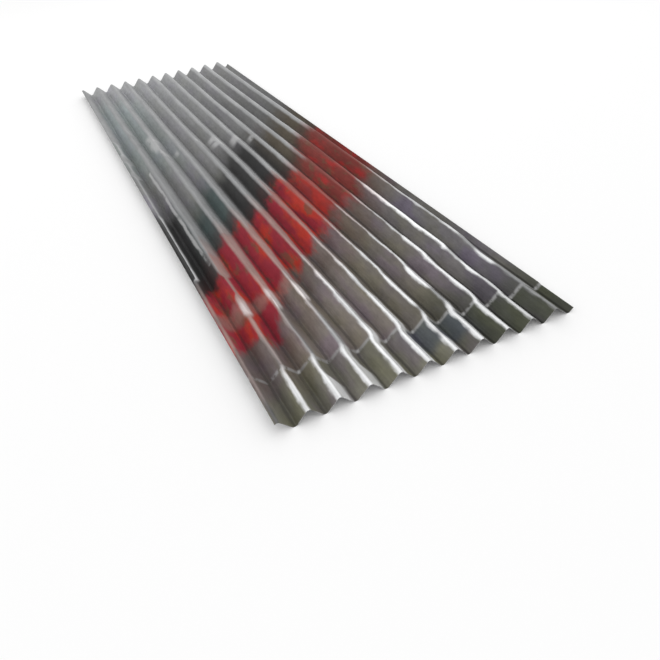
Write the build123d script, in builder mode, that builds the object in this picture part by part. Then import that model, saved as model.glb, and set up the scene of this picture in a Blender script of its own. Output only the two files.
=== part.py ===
from build123d import *
import math
import os

# Corrugated aluminium roofing sheet, cold rolled in one piece from flat coil, in millimetres.
# X runs across the waves, Y along them and +Z up, away from the floor the sheet lies on.
# The origin is on that floor, under the middle of the sheet.

# Driving dimensions
pitch = 67.7  # from one crown to the next
wave_depth = 30.0  # overall, from the top of a crown to the underside of a valley
thickness = 0.6  # of the metal
bend_radius = 7.4  # of every crown and valley, at the middle of the metal
sheet_length = 2438.0  # along the waves
half_wave_count = 21  # crown to valley steps: the outermost bend is a crown left, a valley right
left_turn_angle = 40.0  # that the left side edge bends past the outermost crown, in degrees
right_lip = 13.5  # from the middle of the outermost valley to the right side edge

# Each flank is the straight line that touches the bend of a crown and that of the next valley,
# so its slope follows from how far apart the two bend centres are, across and down.
half_pitch = pitch / 2
centre_drop = wave_depth - thickness - 2 * bend_radius
centre_distance = math.hypot(half_pitch, centre_drop)
flank_slope = math.atan2(centre_drop, half_pitch) + math.asin(2 * bend_radius / centre_distance)
left_turn = math.radians(left_turn_angle)
lip_length = (right_lip - bend_radius * math.sin(flank_slope)) / math.cos(flank_slope)

left_reach = (bend_radius + thickness / 2) * math.sin(left_turn)
right_reach = right_lip + thickness / 2 * math.sin(flank_slope)
sheet_width = left_reach + half_wave_count * half_pitch + right_reach
left_crown_x = -sheet_width / 2 + left_reach
crown_centre_z = wave_depth - thickness / 2 - bend_radius
valley_centre_z = thickness / 2 + bend_radius


def bend_points(step, face):
    """Start, middle and end of one bend, on the upper face (+1) or the lower face (-1)."""
    way = 1 if step % 2 == 0 else -1
    centre_x = left_crown_x + step * half_pitch
    centre_z = crown_centre_z if way == 1 else valley_centre_z
    radius = bend_radius + way * face * thickness / 2
    start_turn = -left_turn if step == 0 else -flank_slope
    middle_turn = (start_turn + flank_slope) / 2
    return [
        (centre_x + radius * math.sin(turn), centre_z + way * radius * math.cos(turn))
        for turn in (start_turn, middle_turn, flank_slope)
    ]


def draw_face(face):
    """One face of the metal from the left edge to the right: bends joined by flanks, and a lip."""
    bends = [bend_points(step, face) for step in range(half_wave_count + 1)]
    for bend in bends:
        ThreePointArc(*bend)
    for bend, next_bend in zip(bends, bends[1:]):
        Line(bend[-1], next_bend[0])
    lip_x, lip_z = bends[-1][-1]
    lip_x += lip_length * math.cos(flank_slope)
    lip_z += lip_length * math.sin(flank_slope)
    Line(bends[-1][-1], (lip_x, lip_z))
    return bends[0][0], (lip_x, lip_z)


# The rolled section, drawn across the waves and drawn out along them
with BuildPart() as roofing_sheet:
    with BuildSketch(Plane.XZ) as section:
        with BuildLine():
            upper_left, upper_right = draw_face(1)
            lower_left, lower_right = draw_face(-1)
            Line(upper_left, lower_left)
            Line(upper_right, lower_right)
        make_face()
    extrude(amount=sheet_length / 2, both=True)

roofing_sheet.part.label = "roofing_sheet"

os.makedirs("parts", exist_ok=True)
export_step(roofing_sheet.part, "parts/roofing_sheet.step")

bounds = roofing_sheet.part.bounding_box()
print(f"flank slope {math.degrees(flank_slope):.2f} degrees")
print(f"overall {bounds.size.X:.1f} x {bounds.size.Y:.1f} x {bounds.size.Z:.2f} mm")
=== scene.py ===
# %% [markdown]
# A corrugated aluminium roofing sheet lies flat on a pale floor. It is one piece of metal, cold
# rolled from flat coil, so the whole object is one mesh. This lesson folds a flat strip into the
# waves, rounds the folds to the real bends, dents them, and then paints the metal with nodes.
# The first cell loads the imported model, which fixes the size and the place of the sheet.

# %% Load the frame
import math

import bmesh
import bpy
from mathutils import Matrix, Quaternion, Vector


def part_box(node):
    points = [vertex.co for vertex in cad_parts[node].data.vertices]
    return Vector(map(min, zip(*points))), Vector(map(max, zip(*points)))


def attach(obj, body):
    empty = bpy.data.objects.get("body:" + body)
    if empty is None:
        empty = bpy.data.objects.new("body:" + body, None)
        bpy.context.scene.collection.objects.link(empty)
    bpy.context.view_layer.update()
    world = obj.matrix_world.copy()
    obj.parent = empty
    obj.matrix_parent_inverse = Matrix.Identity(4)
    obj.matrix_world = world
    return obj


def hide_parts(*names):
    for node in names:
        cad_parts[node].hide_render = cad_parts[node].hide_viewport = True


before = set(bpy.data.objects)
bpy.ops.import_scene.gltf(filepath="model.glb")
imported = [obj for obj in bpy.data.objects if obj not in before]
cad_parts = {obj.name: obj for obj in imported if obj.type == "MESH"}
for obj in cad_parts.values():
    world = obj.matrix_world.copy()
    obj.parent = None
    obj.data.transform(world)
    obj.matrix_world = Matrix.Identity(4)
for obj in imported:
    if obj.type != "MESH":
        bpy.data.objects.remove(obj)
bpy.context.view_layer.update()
sheet_low, sheet_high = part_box("roofing_sheet")
sheet_length = sheet_high[1] - sheet_low[1]
wave_depth = sheet_high[2] - sheet_low[2]
print(f"sheet {sheet_length:.3f} m long, waves {wave_depth * 1000:.2f} mm deep")

# %% [markdown]
# The photograph was taken from the front left, above the sheet, with the camera tipped a few
# degrees to one side. A camera object looks along its own -Z axis, so it can be aimed with
# to_track_quat, and the tip is one more turn about that axis. This keeps the place, the aim and
# the tip as three separate values, which are easier to correct than one rotation.

# %% The camera
camera_place = Vector((-0.5545, -1.987, 0.8726))
camera_target = Vector((-0.1448, -1.0065, 0.015))
camera_tip = math.radians(-5.669)
camera_lens = 33.163

camera_aim = (camera_target - camera_place).to_track_quat("-Z", "Y")
camera_turn = camera_aim @ Quaternion((0.0, 0.0, 1.0), camera_tip)
bpy.ops.object.camera_add(location=camera_place, rotation=camera_turn.to_euler())
camera = bpy.context.object
camera.name = "camera"
camera.data.sensor_width = 36.0
camera.data.lens = camera_lens
camera.data.clip_start = 0.01
bpy.context.scene.camera = camera
bpy.context.scene.view_settings.view_transform = "Standard"
print(f"camera {camera_place.length:.2f} m from the middle of the sheet")

# %% [markdown]
# The section is worked out first. Crowns and valleys are bends of one radius, and each flank is
# the straight line that touches two of them. If the flanks are drawn on until they meet, they
# make a sharp zigzag. So a zigzag with one bevel on its folds gives the exact section, with no
# arc drawn by hand. The bevel starts on both sides of a fold where the bend touches the flanks.

# %% The section in numbers
pitch = 0.0677
half_pitch = pitch / 2
half_waves = 21
metal = 0.0006
bend_radius = 0.0074
left_turn = math.radians(40.0)
right_lip = 0.0135

centre_drop = wave_depth - metal - 2 * bend_radius
centre_distance = math.hypot(half_pitch, centre_drop)
flank_slope = math.atan2(centre_drop, half_pitch) + math.asin(2 * bend_radius / centre_distance)
fold_rise = half_pitch * math.tan(flank_slope)
fold_extra = bend_radius / math.cos(flank_slope) - bend_radius
bend_start = bend_radius * math.tan(flank_slope)
lowest_fold = sheet_low[2] + metal / 2 - fold_extra

left_crown = sheet_low[0] + (bend_radius + metal / 2) * math.sin(left_turn)
right_valley = left_crown + half_waves * half_pitch
left_end = Vector((
    left_crown - bend_radius * math.sin(left_turn),
    0.0,
    wave_depth - metal / 2 - bend_radius * (1 - math.cos(left_turn)),
))
right_end = Vector((right_valley + right_lip, 0.0, lowest_fold + right_lip * math.tan(flank_slope)))
print(f"flanks slope {math.degrees(flank_slope):.1f} degrees, first crown at {left_crown:.4f} m")

# %% [markdown]
# An operator in edit mode acts on whatever is selected, so the next cells need a way to select
# edges in code. This helper takes a test, such as "runs along the sheet", and selects the edges
# that pass it. bmesh reads the mesh that is open in edit mode.

# %% Select edges by a test
def along_sheet(edge):
    """True for an edge that runs along the waves."""
    first, last = (vertex.co for vertex in edge.verts)
    return abs(first.y - last.y) > 1e-5


def select_edges(test):
    """Selects the edges that pass the test, and nothing else. Returns how many there are."""
    bpy.context.tool_settings.mesh_select_mode = (False, True, False)
    mesh = bmesh.from_edit_mesh(bpy.context.object.data)
    for part in (mesh.faces, mesh.edges, mesh.verts):
        for item in part:
            item.select = False
    chosen = [edge for edge in mesh.edges if test(edge)]
    for edge in chosen:
        edge.select_set(True)
    bmesh.update_edit_mesh(bpy.context.object.data)
    return len(chosen)


# %% [markdown]
# The real sheet starts as flat coil, and here it starts as a grid that is one flank wide and as
# long as the sheet. The grid has its rows already, so that the waves can be dented later. Most
# dents are near the front end, so the rows are cut finer there. The strip is a hair shorter than
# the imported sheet, because dents move its ends a little. Then the right side is lifted to make the
# first flank.

# %% The first flank
grid_rows = 120
fine_from = -0.68
end_room = 0.00002

bpy.ops.object.select_all(action="DESELECT")
first_x = left_crown - half_pitch / 2
bpy.ops.mesh.primitive_grid_add(
    x_subdivisions=1, y_subdivisions=grid_rows, size=1.0, location=(first_x, 0.0, lowest_fold)
)
sheet = bpy.context.object
sheet.name = "corrugated_sheet"
sheet.data.name = "corrugated_sheet"
bpy.ops.transform.resize(value=(half_pitch, sheet_length - 2 * end_room, 1.0))
bpy.ops.object.transform_apply(location=True, rotation=True, scale=True)

bpy.ops.object.mode_set(mode="EDIT")
select_edges(lambda edge: along_sheet(edge) and max(v.co.y for v in edge.verts) < fine_from)
bpy.ops.mesh.subdivide(number_cuts=2)
rows = select_edges(lambda edge: min(v.co.x for v in edge.verts) > first_x)
bpy.ops.transform.translate(value=(0.0, 0.0, fold_rise))
print(f"first flank of {rows} rows")

# %% [markdown]
# The selected side is now extruded once for each flank, down and up in turn. The zigzag goes on
# for one flank past each side edge of the sheet, so that the outermost crown and valley are folds
# with metal on both sides and get the same bevel as the others.

# %% Fold the zigzag
for step in range(half_waves + 1):
    way = -1 if step % 2 == 0 else 1
    bpy.ops.mesh.extrude_edges_move(
        TRANSFORM_OT_translate={"value": (half_pitch, 0.0, way * fold_rise)}
    )
print(f"zigzag of {half_waves + 2} flanks")

# %% [markdown]
# A bevel with several segments and a profile of 0.5 turns each fold into a round bend. Only the
# folds are beveled: they are the edges along the sheet that have a face on both sides.

# %% Roll the bends
bend_segments = 7

folds = select_edges(lambda edge: along_sheet(edge) and len(edge.link_faces) == 2)
bpy.ops.mesh.bevel(
    offset_type="OFFSET",
    offset=bend_start,
    segments=bend_segments,
    profile=0.5,
    affect="EDGES",
    clamp_overlap=False,
)
print(f"{folds // rows} folds rounded")

# %% [markdown]
# The straight flanks are cut once more along their middle, so that dents can run down them. Then
# two bisect cuts trim the surplus flanks. Each cutting plane stands square to the metal: on the
# left just past the top of the outermost crown, and on the right where the short lip ends that
# rises past the outermost valley.

# %% Divide the flanks and trim the side edges
def is_flank_width(edge):
    """True for an edge straight across a flank."""
    return not along_sheet(edge) and edge.calc_length() > half_pitch / 2


select_edges(is_flank_width)
bpy.ops.mesh.subdivide(number_cuts=1)
left_way = (-math.cos(left_turn), 0.0, -math.sin(left_turn))
right_way = (math.cos(flank_slope), 0.0, math.sin(flank_slope))
for end, way in ((left_end, left_way), (right_end, right_way)):
    bpy.ops.mesh.select_all(action="SELECT")
    bpy.ops.mesh.bisect(plane_co=end, plane_no=way, clear_outer=True)
bpy.ops.mesh.select_all(action="SELECT")
bpy.ops.mesh.remove_doubles(threshold=1e-6)
bpy.ops.mesh.normals_make_consistent(inside=False)
bpy.ops.object.mode_set(mode="OBJECT")
upward = sum(face.normal.z > 0 for face in sheet.data.polygons)
print(f"{len(sheet.data.polygons)} faces, {upward} of them face up")

# %% [markdown]
# The finish must follow the metal when it is dented. So the place of every point is written down
# while the waves are still straight, as an attribute that the material can read later.

# %% Write down the straight shape
straight = sheet.data.attributes.new("straight_place", "FLOAT_VECTOR", "POINT")
straight.data.foreach_set("vector", [part for v in sheet.data.vertices for part in v.co])
print(f"{len(straight.data)} places kept")

# %% [markdown]
# Thin metal is never quite straight. On the real sheet the crowns run a few millimetres beside
# their proper place, and how far changes along the sheet and from crown to crown. A small table
# holds this, and follow reads it by straight-line interpolation. The side edges stay in place, so
# that the sheet keeps its width.

# %% How far each crown is pushed over
# place along the sheet (m), then how far crowns 0, 2, 4, 6, 8 and 10 are pushed right (mm)
pushed_over = (
    (-1.219, 0.0, 0.0, 2.0, 2.0, -1.0, -5.0),
    (-1.108, 0.0, 0.0, 2.0, 2.0, -1.0, -5.0),
    (-1.070, 0.0, 3.0, 9.0, 8.0, 5.0, -5.0),
    (-0.930, 0.0, 3.0, 9.0, 8.0, 4.0, -6.0),
    (-0.860, 0.0, 4.0, 9.0, 10.0, 9.0, 3.0),
    (0.000, 0.0, 4.0, 9.0, 10.0, 9.0, 5.0),
    (0.700, 0.0, 0.0, 1.0, 0.0, -2.0, -3.0),
    (1.219, 0.0, 0.0, -2.0, -3.0, -4.0, -4.0),
)
crowns_per_column = 2
last_place = 9.99
free_half_width = 0.355
edge_fade = 0.03


def follow(keys, place):
    """The values of a table at one place. Each row holds a place and its values."""
    if place <= keys[0][0]:
        return keys[0][1:]
    for first, second in zip(keys, keys[1:]):
        if place <= second[0]:
            part = (place - first[0]) / (second[0] - first[0])
            return tuple(a + (b - a) * part for a, b in zip(first[1:], second[1:]))
    return keys[-1][1:]


def inside_edges(place):
    """1 over most of the width, and 0 at both side edges."""
    room = free_half_width - abs(place.x)
    return min(1.0, room / edge_fade) if room > 0 else 0.0


def push(place):
    """How far one point of the sheet moves to the right, in metres."""
    row = follow(pushed_over, place.y)
    column = max(0.0, min(last_place, (place.x - left_crown) / pitch)) / crowns_per_column
    first = int(column)
    millimetres = row[first] + (row[first + 1] - row[first]) * (column - first)
    return millimetres / 1000 * inside_edges(place)


print(f"{len(pushed_over)} rows in the table")

# %% [markdown]
# The table is applied with a Displace modifier, and a vertex group says how far it may move each
# point. The same modifier with soft clouds lets the crowns wander a little more and makes the
# flanks slightly hollow here and full there. Flanks move only in their middle, so that the waves
# keep their depth.

# %% Let the waves wander
def displace(name, direction, size, strength, amount):
    """Moves the points along one direction as far as amount allows. A size makes it cloudy."""
    group = sheet.vertex_groups.new(name=name)
    for vertex in sheet.data.vertices:
        group.add([vertex.index], amount(vertex.co), "REPLACE")
    modifier = sheet.modifiers.new(name, "DISPLACE")
    modifier.direction = direction
    modifier.strength = strength
    modifier.mid_level = 0.0
    modifier.vertex_group = name
    if size:
        clouds = bpy.data.textures.new(name, type="CLOUDS")
        clouds.noise_scale = size
        clouds.noise_depth = 1
        modifier.texture = clouds
        modifier.texture_coords = "LOCAL"
        modifier.mid_level = 0.5
    bpy.ops.object.modifier_apply(modifier=name)


def mid_flank(place):
    """1 halfway up a flank, and 0 on the crowns and in the valleys."""
    height = place.z / wave_depth
    return max(0.0, min(1.0, 2.2 * min(height, 1.0 - height) - 0.1)) * inside_edges(place)


farthest = 0.010
displace("pushed_right", "X", None, farthest, lambda place: max(0.0, push(place)) / farthest)
displace("pushed_left", "X", None, -farthest, lambda place: max(0.0, -push(place)) / farthest)
displace("wander", "X", 0.13, 0.0042, inside_edges)
displace("hollow_flanks", "NORMAL", 0.10, 0.0026, mid_flank)
before = sheet.data.attributes["straight_place"].data
moved = max(abs(v.co.x - b.vector.x) for v, b in zip(sheet.data.vertices, before))
print(f"the waves have moved by up to {moved * 1000:.1f} mm")

# %% [markdown]
# Dents are described by where they are on the straight sheet, although the waves have moved since.
# So this helper selects points by the place that was written down, and crown_x tells where a
# crown is.

# %% Select points by their straight place
def select_points(test):
    """Selects the points whose place on the straight sheet passes the test."""
    bpy.context.tool_settings.mesh_select_mode = (True, False, False)
    mesh = bmesh.from_edit_mesh(sheet.data)
    straight_place = mesh.verts.layers.float_vector["straight_place"]
    for part in (mesh.faces, mesh.edges, mesh.verts):
        for item in part:
            item.select = False
    for vertex in mesh.verts:
        vertex.select = test(*vertex[straight_place])
    mesh.select_flush_mode()
    bmesh.update_edit_mesh(sheet.data)


def crown_x(crown):
    """Place of a crown across the sheet. Crown 0 is the left side edge."""
    return left_crown + crown * pitch


# %% [markdown]
# Thin sheets get dented in handling and wherever they rest on something hard, and on bright metal
# even a dent of a millimetre bends the highlights. A dent is made as by hand: a few points on top
# of a crown are selected and moved, with proportional editing, which takes the points around them
# along and lets the move fade out over its reach.

# %% Press dents into the crowns
top_half_width = 0.0022


def press_crown(crown, near, far, move, reach):
    """Moves the top of one crown between two places along the sheet, in millimetres."""
    def on_top(x, y, z):
        beside = abs(x - crown_x(crown))
        return beside < top_half_width and z > wave_depth / 2 and near <= y * 1000 <= far

    select_points(on_top)
    bpy.ops.transform.translate(
        value=[part / 1000 for part in move],
        use_proportional_edit=True,
        proportional_edit_falloff="SMOOTH",
        proportional_size=reach / 1000,
    )


# crown, near and far end (mm), move right, along and up (mm), and how far it reaches (mm)
dents = (
    (1, -872, -806, (1.5, 0.0, -1.8), 18),
    (2, -884, -806, (1.8, 0.0, -1.8), 18),
    (3, -884, -820, (1.6, 0.0, -1.6), 18),
    (4, -890, -790, (2.2, 0.0, -1.2), 20),
    (5, -876, -790, (2.4, 0.0, -1.4), 20),
    (6, -870, -770, (2.8, 0.0, -1.2), 22),
    (7, -878, -780, (3.0, 0.0, -1.5), 22),
    (8, -872, -770, (3.2, 0.0, -1.4), 22),
    (9, -860, -770, (3.0, 0.0, -1.2), 22),
    (10, -850, -770, (2.4, 0.0, -1.0), 20),
    (4, -1085, -1040, (0.8, 0.0, -1.0), 18),
    (5, -1095, -960, (1.0, 0.0, -1.0), 20),
    (6, -1050, -940, (0.8, 0.0, -0.9), 20),
    (7, -1000, -935, (-0.8, 0.0, -0.8), 18),
    (9, -1030, -960, (-0.8, 0.0, -0.9), 18),
    (10, -1000, -935, (-0.8, 0.0, -0.9), 18),
)

bpy.ops.object.mode_set(mode="EDIT")
for crown, near, far, move, reach in dents:
    press_crown(crown, near, far, move, reach)
print(f"{len(dents)} dents, most of them along one line across the sheet")

# %% [markdown]
# A straight line crosses the whole sheet a hand's width behind its front end, where the sheet was
# pressed over a hard edge. In front of it the crowns sit a little lower and further left. The
# points in front of the line are squashed towards the floor and then shifted. The outermost left
# crown stays in place, because the sheet must not become wider.

# %% Press the line across the front
line_start_x = -0.292
line_start_y = -1.080
line_slant = 0.044
squash = 0.96
shift_left = 0.0016


def press_line_y(x):
    """Where the pressed line is along the sheet, at one place across it."""
    return line_start_y - line_slant * (x - line_start_x)


select_points(lambda x, y, z: y < press_line_y(x))
bpy.ops.transform.resize(value=(1.0, 1.0, squash), center_override=(0.0, 0.0, metal / 2))
select_points(lambda x, y, z: y < press_line_y(x) and x > left_crown + 0.7 * pitch)
bpy.ops.transform.translate(value=(-shift_left, 0.0, 0.0))
bpy.ops.mesh.select_all(action="DESELECT")
bpy.ops.object.mode_set(mode="OBJECT")
print("line pressed across the front")

# %% [markdown]
# A highlight is painted along each crown, in place of the bright line that a round crown mirrors.
# It is wider and brighter in some places than in others. Its general run depends on the distance
# to the slanting red mark, and one crown after the other has painted highlight spots of its own,
# most of them near the front end.

# %% The painted highlight in numbers
mark_start_x = -0.335
mark_start_y = -0.815
mark_slope = 1.057


def behind_mark(x, y):
    """How far a place is behind the middle of the slanting red mark, along the sheet."""
    return y - mark_start_y - (x - mark_start_x) * mark_slope


# behind the mark (m), then left reach, right reach (mm) and brightness
general_highlight = (
    (-0.70, -3.0, 6.0, 0.50),
    (-0.30, -1.0, 7.0, 0.58),
    (-0.16, -2.0, 12.0, 0.46),
    (0.00, -4.0, 20.0, 0.37),
    (0.20, -5.0, 28.0, 0.37),
    (0.60, -6.0, 30.0, 0.37),
    (1.20, -6.0, 27.0, 0.40),
    (2.00, -8.0, 22.0, 0.41),
)
# crown, near and far end (mm), then left reach, right reach (mm) and brightness
highlight_spots = (
    (0, -1230, -672, -3, 5, 0.12), (0, -648, -270, 8, 13, 0.66), (0, -250, 60, 6, 12, 0.42),
    (0, 120, 200, 6, 14, 0.44), (0, 300, 420, 5, 16, 0.48), (1, -775, -690, 2, 10, 0.25),
    (1, -872, -800, -6, 14, 0.86), (1, -1070, -884, -4, 6, 0.20), (1, -1230, -1094, -6, 3, 0.80),
    (2, -884, -800, -4, 16, 0.86), (2, -1066, -894, -3, 8, 0.27), (2, -1156, -1094, -5, 6, 0.78),
    (2, -1230, -1166, -6, 26, 0.86), (3, -884, -816, -3, 17, 0.86), (3, -1070, -894, -3, 9, 0.38),
    (3, -1156, -1096, -5, 16, 0.86), (3, -1230, -1166, -5, 28, 0.86), (4, -900, -800, -4, 12, 0.80),
    (4, -1036, -908, -5, 12, 0.66), (4, -1096, -1050, -5, 18, 0.85), (4, -1230, -1118, -5, 14, 0.90),
    (5, -868, -790, -4, 11, 0.74), (5, -932, -876, -5, 8, 0.56), (5, -1096, -950, -5, 18, 0.86),
    (5, -1230, -1118, -5, 15, 0.90), (6, -880, -780, -3, 9, 0.68), (6, -1046, -910, -4, 12, 0.84),
    (6, -1078, -1056, -3, 6, 0.32), (6, -1128, -1088, -5, 8, 0.75), (6, -1230, -1176, -5, 16, 0.88),
    (7, -880, -780, -3, 10, 0.72), (7, -1000, -910, -6, 19, 0.95), (7, -1078, -1012, -3, 9, 0.35),
    (7, -1124, -1088, -6, 9, 0.80), (7, -1230, -1134, -5, 14, 0.88), (8, -936, -780, -5, 13, 0.82),
    (8, -1022, -948, -5, 14, 0.84), (8, -1102, -1034, -5, 10, 0.85), (8, -1230, -1112, -5, 13, 0.82),
    (9, -770, -440, -5, 17, 0.95), (9, -880, -790, -6, 18, 0.96), (9, -952, -892, -4, 11, 0.50),
    (9, -1024, -966, -5, 15, 0.94), (9, -1230, -1042, -4, 11, 0.68), (10, -836, -780, -4, 8, 0.70),
    (10, -922, -846, -4, 5, 0.30), (10, -998, -940, -5, 6, 0.82), (10, -1230, -1014, -4, 4, 0.28),
)
# painted highlight spots: bright lines that the crowns mirror, painted into the colour
print(f"{len(highlight_spots)} rubbed spots on the crowns")

# %% [markdown]
# Both tables are worked out for every point of the sheet and stored as one more attribute: how
# far the painted highlight reaches to the left and to the right of the crown, and how bright it
# is. A highlight spot takes over from the general run, and fades out past its ends.

# %% Store the painted highlight
spot_fade = 24.0
widest_left = -9.0


def painted_highlight(x, y):
    """Left reach, right reach and brightness of the painted highlight at one place of the sheet."""
    crown = round((x - left_crown) / pitch)
    behind = behind_mark(crown_x(crown), y)
    left, right, tone = follow(general_highlight, behind)
    # behind the mark the line is dimmer on the left crowns, and leans left on the right ones
    in_rear = max(0.0, min(1.0, (behind + 0.1) / 0.2))
    left = max(widest_left, left - 0.6 * in_rear * max(0, crown - 3))
    tone *= 1 + in_rear * (0.04 * min(crown, 8) - 0.18)
    line = (left, right, tone)
    for spot_crown, near, far, *spot in highlight_spots:
        if spot_crown == crown:
            outside = max(near - y * 1000, y * 1000 - far, 0.0)
            part = max(0.0, 1.0 - outside / spot_fade)
            line = tuple(a + (b - a) * part for a, b in zip(line, spot))
    return line[0] / 1000, line[1] / 1000, line[2]


parts = [0.0] * (3 * len(sheet.data.vertices))
sheet.data.attributes["straight_place"].data.foreach_get("vector", parts)
places = list(zip(parts[0::3], parts[1::3]))
lines = sheet.data.attributes.new("painted_highlight", "FLOAT_VECTOR", "POINT")
lines.data.foreach_set("vector", [part for x, y in places for part in painted_highlight(x, y)])
print(f"bright line stored on {len(places)} points")

# %% [markdown]
# The red mark and the dark patch don't end along straight lines: in each hollow they end a little
# sooner or later. These ends are stored in the same way, one row for each hollow from left to
# right. Noise makes them ragged later, in the material.

# %% Where the red mark and the stain end
# behind the middle of the mark (m): where it begins, where it ends and where the dark patch ends
mark_ends = (
    (-0.165, 0.105, 0.640), (-0.225, 0.200, 0.510), (-0.165, 0.200, 0.600), (-0.150, 0.172, 0.570),
    (-0.160, 0.160, 0.640), (-0.170, 0.198, 0.660), (-0.175, 0.156, 0.600), (-0.195, 0.155, 0.560),
    (-0.200, 0.230, 0.560), (-0.215, 0.232, 0.580), (-0.215, 0.225, 0.580),
)


def ends_of_mark(x):
    """Begin and end of the red mark, and end of the dark patch, in the hollow at one place."""
    hollow = int(max(0.0, (x - left_crown) / pitch))
    return mark_ends[min(hollow, len(mark_ends) - 1)]


ends = sheet.data.attributes.new("mark_ends", "FLOAT_VECTOR", "POINT")
ends.data.foreach_set("vector", [part for x, y in places for part in ends_of_mark(x)])
print(f"ends of the mark in {len(mark_ends)} hollows")

# %% [markdown]
# The strip is given its metal last, because a dent in a solid sheet would have to be made on both
# faces. Solidify adds half the thickness on each side, and gives the lower face and the cut edges
# materials of their own. Smooth shading hides the small facets of the bends, and keeps the cut
# edges sharp by their angle.

# %% Give the strip its thickness
# one each for the upper face, the lower face and the cut edges
material_count = 3
for slot in range(material_count):
    sheet.data.materials.append(None)
solidify = sheet.modifiers.new("metal", "SOLIDIFY")
solidify.thickness = metal
solidify.offset = 0.0
solidify.use_rim = True
solidify.material_offset = 1
solidify.material_offset_rim = 2
bpy.ops.object.modifier_apply(modifier=solidify.name)
bpy.ops.object.shade_smooth_by_angle(angle=math.radians(40.0))
triangles = sum(len(face.vertices) - 2 for face in sheet.data.polygons)
print(f"{triangles} triangles")

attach(sheet, "root")
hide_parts("roofing_sheet")

# %% [markdown]
# Materials are graphs of nodes, but their sums read better as formulas. Value wraps a node socket
# and turns each operator into a Math node, so 1 - mask works as it does with numbers. Masks are
# cut out of noise and places with rising and band.

# %% Formulas for nodes
class Value:
    """The output of a node, which can be used in formulas."""

    def __init__(self, nodes, socket):
        self.nodes = nodes
        self.socket = socket

    def math(self, operation, *values, first=None):
        """A Math node with this value first, or second if another one is given as first."""
        values = (self, *values) if first is None else (first, self)
        return self.nodes.add(
            "ShaderNodeMath", {"operation": operation}, dict(enumerate(values))
        )

    def __add__(self, other):
        return self.math("ADD", other)

    def __sub__(self, other):
        return self.math("SUBTRACT", other)

    def __mul__(self, other):
        return self.math("MULTIPLY", other)

    def __truediv__(self, other):
        return self.math("DIVIDE", other)

    def __rsub__(self, other):
        return self.math("SUBTRACT", first=other)

    __radd__ = __add__
    __rmul__ = __mul__

    def rising(self, start, end):
        """0 below start, 1 above end, and a smooth step between them."""
        return self.nodes.add(
            "ShaderNodeMapRange",
            {"interpolation_type": "SMOOTHSTEP"},
            {"Value": self, "From Min": start, "From Max": end},
        )

    def band(self, start, end, edge):
        """1 between start and end, with smooth edges of the given width."""
        inside = self.rising(start - edge / 2, start + edge / 2)
        return inside * (1 - self.rising(end - edge / 2, end + edge / 2))


# %% [markdown]
# Nodes holds the tree of one material. Its method add makes any kind of node: it sets the node up
# first and then fills its sockets, with plain values or with links. The other methods are short
# ways to the nodes that are needed often.

# %% Build a node tree
class Nodes:
    """A node tree that is emptied and then built."""

    def __init__(self, owner):
        owner.use_nodes = True
        self.tree = owner.node_tree
        self.tree.nodes.clear()

    def add(self, kind, settings=None, sockets=None, output=0):
        """Adds a node: its settings first, then the values or links of its sockets."""
        node = self.tree.nodes.new(kind)
        for name, setting in (settings or {}).items():
            setattr(node, name, setting)
        for name, value in (sockets or {}).items():
            if isinstance(value, Value):
                self.tree.links.new(value.socket, node.inputs[name])
            else:
                node.inputs[name].default_value = value
        if not node.outputs:
            return node
        return Value(self, node.outputs[output])

    def object_place(self):
        """The place of the shaded point, in metres."""
        return self.add("ShaderNodeTexCoord", output=3)

    def attribute(self, name):
        """A vector that was stored on the points of the mesh."""
        return self.add("ShaderNodeAttribute", {"attribute_name": name}, None, 1)

    def split(self, vector):
        """The three parts of a vector."""
        first = self.add("ShaderNodeSeparateXYZ", None, {"Vector": vector})
        return [Value(self, socket) for socket in first.socket.node.outputs]

    def mix(self, factor, first, second, blend="MIX"):
        """Mixes two colours, or multiplies the first by the second with blend MULTIPLY."""
        return self.add(
            "ShaderNodeMix",
            {"data_type": "RGBA", "blend_type": blend},
            {0: factor, 6: first, 7: second},
            2,
        )

    def shade(self, colour, amount):
        """Makes a colour darker or lighter."""
        return self.add(
            "ShaderNodeVectorMath", {"operation": "SCALE"}, {0: colour, "Scale": amount}
        )

    def noise(self, place, scale, detail=3.0, roughness=0.5):
        """Smooth noise from 0 to 1, with its own size along each axis."""
        spread = self.add(
            "ShaderNodeVectorMath", {"operation": "MULTIPLY"}, {0: place, 1: scale}
        )
        return self.add(
            "ShaderNodeTexNoise",
            None,
            {"Vector": spread, "Scale": 1.0, "Detail": detail, "Roughness": roughness},
        )

    def finish(self, sockets, relief, strength, depth):
        """Ends the tree with a Principled shader that has these sockets, and a fine relief."""
        bump = self.add(
            "ShaderNodeBump", None, {"Strength": strength, "Distance": depth, "Height": relief}
        )
        shader = self.add("ShaderNodeBsdfPrincipled", None, {**sockets, "Normal": bump})
        self.add("ShaderNodeOutputMaterial", None, {"Surface": shader})


def grey(level, warmth=0.0):
    """A linear grey, a little warmer or cooler."""
    return (level * (1 + warmth), level, level * (1 - warmth), 1.0)


# %% [markdown]
# The finish of the upper face is built from the metal outwards. This cell collects what all its
# layers share: where a place is on the straight sheet, how far it is from the nearest crown, and
# a few noises that are stretched along the sheet, because rolling draws every mark out that way.

# %% The upper face: places and noises
upper = bpy.data.materials.new("upper_face_with_painted_light")
nodes = Nodes(upper)
place = nodes.object_place()
across, along, height = nodes.split(nodes.attribute("straight_place"))
line_left, line_right, highlight_tone = nodes.split(nodes.attribute("painted_highlight"))

wave_number = (across - left_crown) / pitch
from_crown = ((wave_number + 0.5).math("FRACT") - 0.5) * pitch
behind = behind_mark(across, along)

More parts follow.
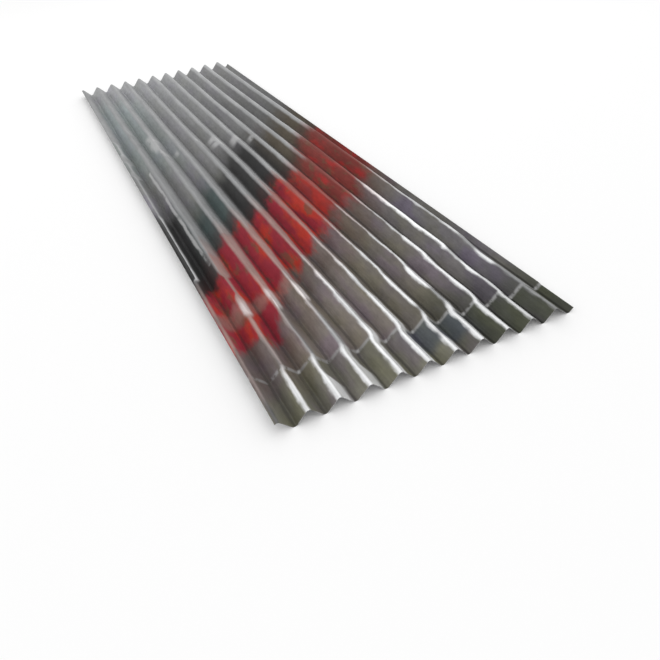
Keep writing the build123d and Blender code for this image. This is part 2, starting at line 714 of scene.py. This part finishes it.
patches = nodes.noise(place, (6.0, 2.6, 6.0), 4.0)
smears = nodes.noise(place, (24.0, 9.0, 24.0), 5.0, 0.6)
streaks = nodes.noise(place, (260.0, 3.0, 260.0), 3.0)
fine_streaks = nodes.noise(place, (1300.0, 14.0, 1300.0), 2.0)
grain = nodes.noise(place, (420.0, 170.0, 420.0), 3.0, 0.6)
print(f"{len(nodes.tree.nodes)} nodes")

# %% [markdown]
# The tone of the bare metal is a painted reflection: it stands for what the metal mirrors. Towards
# the rear it is a light, even grey, and darker on the right. In front of the red mark it is brown
# grey, with a lavender tinge on the right, and darker close to the pressed line.

# %% The upper face: bare metal with painted reflections
cool_tint = (1.06, 1.20, 1.18, 1.0)
brown_grey = (0.166, 0.150, 0.134, 1.0)
lavender_grey = (0.152, 0.144, 0.150, 1.0)
pale_brown = (0.250, 0.218, 0.198, 1.0)
dark_olive = (0.074, 0.076, 0.068, 1.0)

# painted reflection: these tones stand for what the metal mirrors, not for its own colour
to_rear = along.rising(0.05, 1.25)
left_tone = nodes.mix(to_rear, grey(0.195), grey(0.320, -0.02))
right_tone = nodes.mix(along.rising(0.20, 1.20), grey(0.108), grey(0.198))
tone = nodes.mix(across.rising(-0.12, 0.30), left_tone, right_tone)
cool = across.band(-0.37, -0.17, 0.10) * along.band(0.10, 0.95, 0.30)
tone = nodes.mix(cool * 0.9, tone, cool_tint, "MULTIPLY")

to_right = across.rising(0.10, 0.30)
in_front = 1 - behind.rising(-0.34, -0.16)
front_tone = nodes.mix(to_right, brown_grey, lavender_grey)
pale = across.band(-0.25, -0.02, 0.08) * (1 - along.rising(-0.90, -0.72))
front_tone = nodes.mix(pale * 0.7, front_tone, pale_brown)
near_line = (1 - along.rising(-1.08, -0.92)) * across.rising(0.00, 0.12)
front_tone = nodes.mix(near_line * 0.75, front_tone, dark_olive)
tone = nodes.mix(in_front, tone, front_tone)
print(f"{len(nodes.tree.nodes)} nodes")

# %% [markdown]
# In front of the pressed line the painted reflection is a little olive, much darker on the right,
# and bluish in one place. Last, soft patches tint the whole sheet lavender here and olive there,
# less so towards the rear.

# %% The upper face: painted reflections at the front end, and soft tints
olive_grey = (0.176, 0.172, 0.140, 1.0)
darkest_olive = (0.074, 0.078, 0.062, 1.0)
dark_blue = (0.068, 0.086, 0.112, 1.0)
lavender_tint = (1.00, 0.93, 1.12, 1.0)
olive_tint = (1.01, 1.02, 0.90, 1.0)

from_pressed_line = along - press_line_y(across)
# painted reflection in front of the pressed line: olive, darker on the right, bluish in one place
end_strip = 1 - from_pressed_line.rising(-0.002, 0.002)
olive_end = across.rising(0.06, 0.16)
end_tone = nodes.mix(olive_end, olive_grey, darkest_olive)
bluish = across.band(-0.02, 0.14, 0.06) * along.band(-1.175, -1.090, 0.03)
end_tone = nodes.mix(bluish * 0.7, end_tone, dark_blue)
tone = nodes.mix(end_strip * 0.9, tone, end_tone)

hues = nodes.noise(place, (13.0, 6.0, 13.0), 3.0)
tinted = 1 - 0.75 * along.rising(-0.60, 0.40)
lavender = hues.rising(0.50, 0.64) * tinted
olive = (1 - hues.rising(0.36, 0.50)) * tinted
tone = nodes.mix(lavender, tone, lavender_tint, "MULTIPLY")
tone = nodes.mix(olive, tone, olive_tint, "MULTIPLY")
print(f"{len(nodes.tree.nodes)} nodes")

# %% [markdown]
# A dark patch lies just behind the red mark, nearly black on the left and brown on the right. In
# each hollow it ends at a place of its own, which was stored on the points.

# %% The upper face: the dark patch
near_black = grey(0.018)
dark_teal = (0.056, 0.084, 0.082, 1.0)
dark_brown = (0.088, 0.072, 0.050, 1.0)

mark_begin, mark_end, dark_patch_end = nodes.split(nodes.attribute("mark_ends"))
ragged = behind + (smears - 0.5) * 0.20
after_mark = (ragged - mark_end).rising(-0.12, -0.03)
before_end = 1 - (ragged - dark_patch_end).rising(-0.17, 0.05)
dark_patch = after_mark * before_end
dark_patch_right = across.rising(0.06, 0.16)
teal = across.band(-0.30, -0.15, 0.03) * patches.rising(0.20, 0.42)
dark_patch_tone = nodes.mix(teal * 0.9, near_black, dark_teal)
dark_patch_tone = nodes.mix(dark_patch_right, dark_patch_tone, dark_brown)
tone = nodes.mix(dark_patch * 0.96, tone, dark_patch_tone)
print(f"{len(nodes.tree.nodes)} nodes")

# %% [markdown]
# A red mark crosses the sheet at a slant. The noises that make its ends ragged are the same as in
# the dark patch, so the two fit together. The mask of the mark also lowers Metallic further on.

# %% The upper face: where the red mark is
soft = 0.030 + 0.030 * across.rising(-0.05, 0.20)
mark = ((ragged - mark_begin) / soft).rising(-1.0, 1.0)
mark = mark * (1 - ((ragged - mark_end) / soft).rising(-1.0, 1.0))
thin_front = (ragged - mark_begin).rising(-0.24, -0.02)
red_fringe = thin_front * (1 - (ragged - mark_end).rising(0.02, 0.12))
print(f"{len(nodes.tree.nodes)} nodes")

# %% [markdown]
# The red is not one colour. On the left it changes between orange red and crimson, and on the
# right it is duller. It is brown where it is thin, paler along one line near its left end, and a
# thin red tint spreads past both of its ends.

# %% The upper face: the colours of the red mark
orange_red = (0.460, 0.030, 0.014, 1.0)
crimson = (0.300, 0.016, 0.034, 1.0)
clear_red = (0.350, 0.024, 0.022, 1.0)
dull_red = (0.200, 0.034, 0.028, 1.0)
thin_brown = (0.140, 0.075, 0.042, 1.0)
front_fringe = (0.130, 0.070, 0.050, 1.0)
rear_fringe = (0.055, 0.016, 0.016, 1.0)
pale_stripe_colour = (0.400, 0.200, 0.170, 1.0)

blots = nodes.noise(place, (19.0, 6.0, 19.0), 3.0)
strong_red = nodes.mix(blots.rising(0.42, 0.58), crimson, orange_red)
weak_red = nodes.mix(blots.rising(0.48, 0.62), dull_red, clear_red)
red = nodes.mix(across.rising(0.00, 0.18), strong_red, weak_red)
thin_spots = nodes.noise(place, (33.0, 12.0, 33.0), 3.0).rising(0.55, 0.68)
red = nodes.mix(thin_spots * 0.7, red, thin_brown)

pale_stripe_place = along + 0.826 - (across + 0.26) * 0.30 + (smears - 0.5) * 0.10
pale_stripe = pale_stripe_place.band(-0.024, 0.024, 0.036) * (1 - across.rising(-0.18, -0.12))
mark = mark * (1 - 0.45 * pale_stripe)
at_rear_end = (ragged - mark_end).rising(-0.05, 0.02)
thin_tone = nodes.mix(at_rear_end, front_fringe, rear_fringe)
tone = nodes.mix(red_fringe * 0.50, tone, thin_tone)
tone = nodes.mix(mark * 0.93, tone, red)
tone = nodes.mix(pale_stripe * 0.40, tone, pale_stripe_colour)
print(f"{len(nodes.tree.nodes)} nodes")

# %% [markdown]
# Further back lie a few pale scuffs left by something hard, and a long thin pale line near the left
# edge.
# Each is a straight stroke, so its mask is the distance to a line between two places. Noise bends
# the strokes a little, and rubs them out here and there.

# %% The upper face: pale scuffs
# start and end on the sheet, and half the width (m)
strokes = (
    ((-0.238, 0.385), (-0.236, 0.325), 0.018),
    ((-0.236, 0.325), (-0.216, 0.208), 0.014),
    ((-0.222, 0.240), (-0.178, 0.222), 0.010),
    ((-0.236, 0.355), (-0.200, 0.380), 0.010),
    ((-0.081, 0.260), (-0.029, 0.245), 0.010),
    ((-0.072, 0.230), (-0.010, 0.175), 0.012),
    ((-0.029, 0.240), (-0.007, 0.180), 0.010),
    ((-0.010, 0.180), (0.066, 0.195), 0.014),
    ((0.066, 0.195), (0.116, 0.165), 0.011),
    ((-0.303, -0.600), (-0.304, 0.080), 0.004),
)


def stroke(start, end, width):
    """1 on the straight line between two places of the sheet, and 0 away from it."""
    way_x = end[0] - start[0]
    way_y = end[1] - start[1]
    ahead = ((bent_x - start[0]) * way_x + (bent_y - start[1]) * way_y) / (way_x**2 + way_y**2)
    ahead = ahead.math("MAXIMUM", 0.0).math("MINIMUM", 1.0)
    off_x = bent_x - start[0] - ahead * way_x
    off_y = (bent_y - start[1] - ahead * way_y) * 0.45
    return 1 - (off_x * off_x + off_y * off_y).math("SQRT").rising(width * 0.3, width * 1.4)


bent_x = across + (smears - 0.5) * 0.012
bent_y = along + (patches - 0.5) * 0.03
scuffs = stroke(*strokes[0])
for start, end, width in strokes[1:]:
    scuffs = scuffs.math("MAXIMUM", stroke(start, end, width))
scuffs = scuffs * smears.rising(0.28, 0.50) * height.rising(-0.004, 0.020)
print(f"{len(strokes)} scuffs")

# %% [markdown]
# The painted highlight on each crown comes from the stored attribute, with a little noise on both
# its edges. Where it crosses the red mark, it is tinted red.

# %% The upper face: the painted highlights
red_on_left = (0.430, 0.300, 0.270, 1.0)
red_on_right = (0.330, 0.110, 0.090, 1.0)

wobble = nodes.noise(place, (60.0, 24.0, 60.0), 3.0) - 0.5
wobble = wobble * (0.010 - 0.007 * behind.rising(-0.35, -0.05))
left_soft = 0.0024 - 0.15 * line_left
right_soft = 0.0030 + 0.16 * line_right
left_place = (from_crown + wobble - line_left) / left_soft
right_place = (from_crown - wobble - line_right) / right_soft
# painted highlight: a bright band along each crown, in the base colour
highlight_mask = left_place.rising(-1.0, 1.0) * (1 - right_place.rising(-1.0, 1.0))
highlight_colour = nodes.mix(highlight_tone, grey(0.0), grey(1.0, -0.01))
highlight_in_red = nodes.mix(across.rising(-0.14, 0.20), red_on_left, red_on_right)
red_left = (red_fringe * 0.4).math("MAXIMUM", mark * 0.85)
highlight_colour = nodes.mix(red_left, highlight_colour, highlight_in_red)
highlight_variation = (0.62 + 0.76 * smears) * (0.90 + 0.20 * grain)
highlight_colour = nodes.shade(highlight_colour, highlight_variation)
print(f"{len(nodes.tree.nodes)} nodes")

# %% [markdown]
# The valleys are darkened as painted shade, more near the front. Streaks and grain vary all tones,
# and the tone is paler along the pressed line. Then the layers are laid over one another: the
# varied tone first, the painted highlights on it, and the scuffs on top.

# %% The upper face: wear, painted valley shade and all layers together
mottle = nodes.noise(place, (70.0, 30.0, 70.0), 4.0, 0.65)
# painted shade: the valleys are darkened, more near the front
valley = 1 - (from_crown.math("ABSOLUTE") - half_pitch).math("ABSOLUTE").rising(0.001, 0.006)
dirt_and_shade = valley * (0.60 - 0.45 * to_rear)
wear_and_shade = (0.66 + 0.68 * patches) * (0.84 + 0.32 * streaks) * (0.88 + 0.24 * fine_streaks)
wear_and_shade = wear_and_shade * (0.88 + 0.24 * grain) * (0.68 + 0.64 * mottle) * (1 - dirt_and_shade)
tone = nodes.shade(tone, wear_and_shade)
pressed = from_pressed_line.band(-0.0055, 0.0045, 0.0080) * mottle.rising(0.34, 0.50)
tone = nodes.mix(pressed * 0.75, tone, grey(0.38))
highlight_cover = highlight_mask * (0.94 - mark * (0.10 + 0.50 * across.rising(-0.10, 0.22)))
colour = nodes.mix(highlight_cover, tone, highlight_colour)
colour = nodes.mix(scuffs * 0.72, colour, grey(0.50))
print(f"{len(nodes.tree.nodes)} nodes")

# %% [markdown]
# Metallic is lowered on the flanks that face right, so that they scatter the even light and stay
# lighter than a mirror of the dark flank beside them would be, while the flanks that face left
# still mirror the sky. The bump is fine relief only: streaks, grain and small ripples of less
# than half a millimetre.

# %% The upper face: shader
# lower Metallic makes the flanks that face right look lighter under the even light
right_flanks = from_crown.rising(0.003, 0.010) * (1 - from_crown.rising(0.0325, 0.0338))
metallic = 0.92 - 0.50 * right_flanks - 0.45 * mark * (1 - highlight_mask)
dull_crown = highlight_mask * behind.rising(-0.30, 0.10)
roughness = 0.30 + 0.14 * smears + 0.10 * (1 - highlight_mask) + 0.10 * mark + 0.26 * dull_crown
ripples = nodes.noise(place, (42.0, 18.0, 42.0), 2.0)
relief = 0.5 * streaks + 0.25 * fine_streaks + 0.35 * grain + 0.9 * ripples
sockets = {"Base Color": colour, "Metallic": metallic, "Roughness": roughness}
sockets["Specular IOR Level"] = 0.12
nodes.finish(sockets, relief, strength=0.35, depth=0.0006)
sheet.data.materials[0] = upper
print(f"{len(nodes.tree.nodes)} nodes in the upper face")

# %% [markdown]
# The lower face was never walked on or painted. It is plain rolled metal with dull streaks and
# the pale blotches that damp leaves in storage.

# %% The lower face
lower = bpy.data.materials.new("mill_finish_lower")
nodes = Nodes(lower)
place = nodes.object_place()
streaks = nodes.noise(place, (260.0, 3.0, 260.0), 3.0)
fine_streaks = nodes.noise(place, (1300.0, 14.0, 1300.0), 2.0)
damp = nodes.noise(place, (9.0, 5.0, 9.0), 6.0, 0.65).rising(0.52, 0.66)
tone = nodes.mix(damp * 0.6, grey(0.34, 0.01), grey(0.50, 0.02))
tone = nodes.shade(tone, (0.80 + 0.40 * streaks) * (0.88 + 0.24 * fine_streaks))
relief = 0.5 * streaks + 0.3 * fine_streaks + 0.6 * damp
metallic = 0.95 - 0.35 * damp
roughness = 0.34 + 0.12 * streaks + 0.18 * damp
sockets = {"Base Color": tone, "Metallic": metallic, "Roughness": roughness}
nodes.finish(sockets, relief, strength=0.30, depth=0.0005)
sheet.data.materials[1] = lower
print(f"{len(nodes.tree.nodes)} nodes in the lower face")

# %% [markdown]
# The cut edges show metal that was sheared. They are brighter than the faces, and rough, with
# tiny scores across the thickness.

# %% The cut edges
cut = bpy.data.materials.new("sheared_edge")
nodes = Nodes(cut)
place = nodes.object_place()
scores = nodes.noise(place, (900.0, 900.0, 300.0), 2.0)
dirt_and_shade = nodes.noise(place, (30.0, 30.0, 30.0), 3.0)
tone = nodes.mix(dirt_and_shade.rising(0.35, 0.65), grey(0.30, 0.02), grey(0.56))
tone = nodes.shade(tone, 0.8 + 0.4 * scores)
sockets = {"Base Color": tone, "Metallic": 0.95, "Roughness": 0.38 + 0.20 * dirt_and_shade}
nodes.finish(sockets, scores, strength=0.5, depth=0.0002)
sheet.data.materials[2] = cut
print(f"{len(nodes.tree.nodes)} nodes in the cut edges")

# %% [markdown]
# The floor is a plain pale plane, nearly white. The world is a soft even light at the level at
# which a colour looks as it was written, so the floor is white in the render too, except where
# the sheet keeps the light off it.

# %% Floor and world
floor_size = 24.0

bpy.ops.object.select_all(action="DESELECT")
bpy.ops.mesh.primitive_plane_add(size=floor_size, location=(0.0, 0.0, 0.0))
floor = bpy.context.object
floor.name = "floor"
floor_material = bpy.data.materials.new("pale_floor")
nodes = Nodes(floor_material)
floor_shader = nodes.add("ShaderNodeBsdfDiffuse", None, {"Color": grey(0.97)})
nodes.add("ShaderNodeOutputMaterial", None, {"Surface": floor_shader})
floor.data.materials.append(floor_material)

world = bpy.data.worlds.new("studio")
bpy.context.scene.world = world
nodes = Nodes(world)
background = nodes.add(
    "ShaderNodeBackground", None, {"Color": (1.0, 1.0, 1.0, 1.0), "Strength": 1.0}
)
nodes.add("ShaderNodeOutputWorld", None, {"Surface": background})
print("floor and world ready")

# %% [markdown]
# A long narrow lamp stands high behind the sheet on the right. The crowns are round, so each of
# them mirrors this lamp somewhere near its top, as a thin line that jumps wherever the metal is
# dented. A wide low lamp at the rear left is mirrored by the flanks that face left.

# %% Lamps
def softbox(name, place, target, width, length, radiance):
    """A rectangular lamp that faces the target."""
    turn = (Vector(target) - Vector(place)).to_track_quat("-Z", "Y")
    bpy.ops.object.light_add(type="AREA", location=place, rotation=turn.to_euler())
    lamp = bpy.context.object
    lamp.name = name
    lamp.data.shape = "RECTANGLE"
    lamp.data.size = width
    lamp.data.size_y = length
    lamp.data.energy = radiance * math.pi * width * length


softbox(
    "strip_lamp", place=(1.25, 2.6, 2.1), target=(0.1, -0.3, 0.0), width=0.5, length=4.5, radiance=1.2
)
softbox(
    "low_lamp", place=(-3.2, 3.0, 1.3), target=(0.0, -0.2, 0.0), width=2.4, length=1.0, radiance=0.5
)
print("lamps ready")

# %% [markdown]
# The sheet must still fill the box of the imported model, so both boxes are written to a file.

# %% Finish
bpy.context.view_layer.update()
